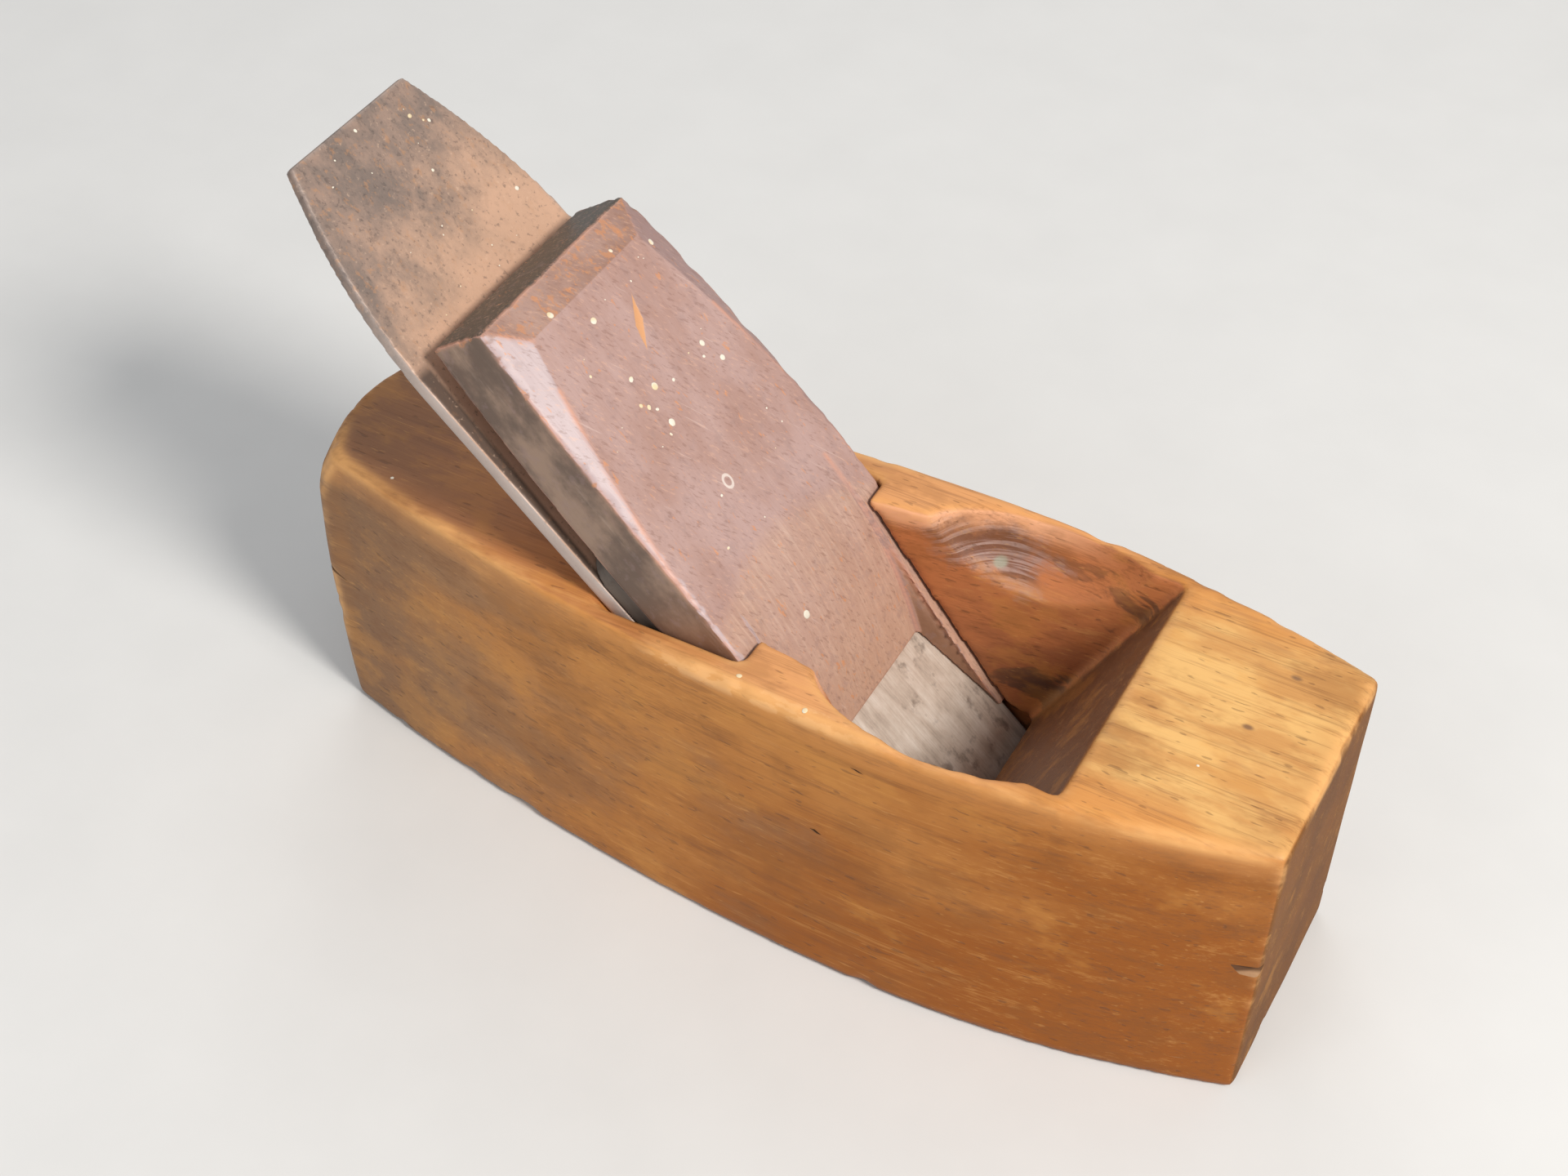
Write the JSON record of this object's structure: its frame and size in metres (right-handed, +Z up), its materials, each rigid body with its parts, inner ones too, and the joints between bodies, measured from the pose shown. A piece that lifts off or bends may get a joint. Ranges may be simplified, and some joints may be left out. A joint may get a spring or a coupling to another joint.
{
  "type": "hand plane",
  "caption": "Coffin-shaped beech smoothing plane, its double iron held in the throat by a chamfered wooden wedge.",
  "frame": {"origin": "on the flat sole, at the middle of its length and width", "axes": "+X to the toe, +Y to the left side seen from behind, +Z up from the sole"},
  "size_m": [0.2092, 0.0742, 0.1336],
  "materials": {
    "beech": "old oiled beech, honey brown, worn and darkened by handling",
    "dark_wood": "dark red-brown, scuffed, with paint specks",
    "rusty_steel": "brown rust patina",
    "grey_steel": "dull grey, streaked",
    "dull_brass": "dull",
    "screw_steel": "dull, dark"
  },
  "bodies": {
    "stock_body": {"stock": "beech"},
    "iron_body": {"cutting_iron": "rusty_steel"},
    "cap_body": {"cap_iron": "grey_steel", "cap_iron_boss": "dull_brass"},
    "screw_body": {"cap_screw": "screw_steel"},
    "wedge_body": {"wedge": "dark_wood"}
  },
  "joints": [
    {"name": "iron_slide", "type": "slide", "parent": "stock_body", "child": "iron_body", "axis": [-0.733, 0, 0.6802], "range_m": [-0.0008, 0.11]},
    {"name": "cap_iron_slide", "type": "slide", "parent": "iron_body", "child": "cap_body", "axis": [-0.7392, 0, 0.6735], "range_m": [-0.0004, 0.02]},
    {"name": "cap_screw_turn", "type": "hinge", "parent": "cap_body", "child": "screw_body", "pos_m": [-0.00576, 0, 0.0458], "axis": [0.6735, 0, 0.7392], "continuous": true},
    {"name": "wedge_slide", "type": "slide", "parent": "cap_body", "child": "wedge_body", "axis": [-0.7392, 0, 0.6735], "range_m": [0, 0.085]}
  ]
}
